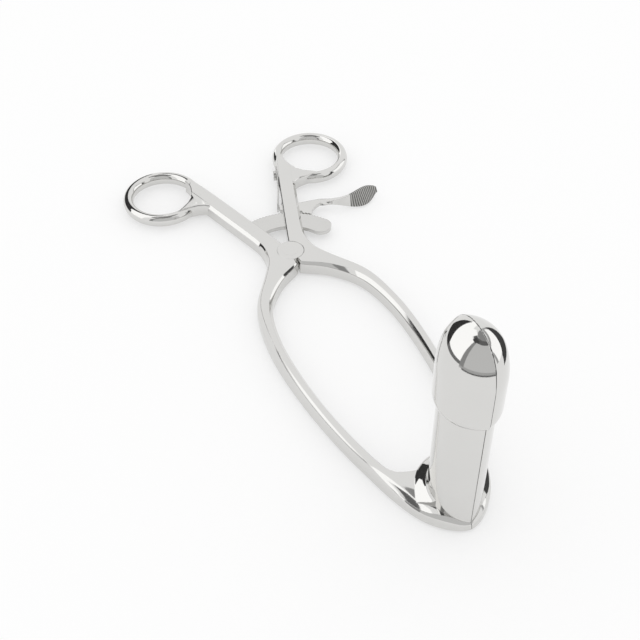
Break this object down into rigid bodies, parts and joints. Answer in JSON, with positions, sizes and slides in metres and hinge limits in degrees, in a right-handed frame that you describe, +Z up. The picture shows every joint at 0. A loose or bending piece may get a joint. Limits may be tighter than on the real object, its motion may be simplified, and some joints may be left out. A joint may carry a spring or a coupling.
{
  "type": "anal speculum",
  "caption": "Two-bladed anal speculum with finger rings, a toothed ratchet with a sprung release lever, oval bows and an upright split barrel with a domed tip.",
  "frame": {"origin": "on the rest plane, under the pivot between the two limbs, at the centre of the pivot rivet's lower face", "axes": "+Z up along the pivot axis, +Y towards the finger rings, -Y towards the blades, X = 0 is the seam between the two halves"},
  "size_m": [0.1015, 0.2155, 0.0824],
  "materials": {
    "polished_steel": "mirror polished stainless steel",
    "rack_steel": "polished stainless steel with cut teeth",
    "lever_steel": "polished stainless steel with a serrated satin pad",
    "spring_steel": "satin spring steel"
  },
  "bodies": {
    "left_half": {"left_limb": "polished_steel", "left_blade": "polished_steel", "left_tip": "polished_steel", "pivot_rivet": "polished_steel", "ratchet_rack": "rack_steel", "rack_rivets": "polished_steel"},
    "right_half": {"right_limb": "polished_steel", "right_blade": "polished_steel", "right_tip": "polished_steel", "lever_pin": "polished_steel", "leaf_spring": "spring_steel", "spring_screw": "spring_steel"},
    "lever": {"release_lever": "lever_steel"}
  },
  "joints": [
    {"name": "spread", "type": "hinge", "parent": "left_half", "child": "right_half", "pos_m": [0, 0, 0.00325], "axis": [0, 0, 1], "range_deg": [0, 24]},
    {"name": "release", "type": "hinge", "parent": "right_half", "child": "lever", "pos_m": [0.01222, 0.02757, 0.00325], "axis": [0, 0, 1], "range_deg": [-4.7, 8], "stiffness_Nm_per_rad": 0.02, "deforming": ["leaf_spring"]}
  ]
}
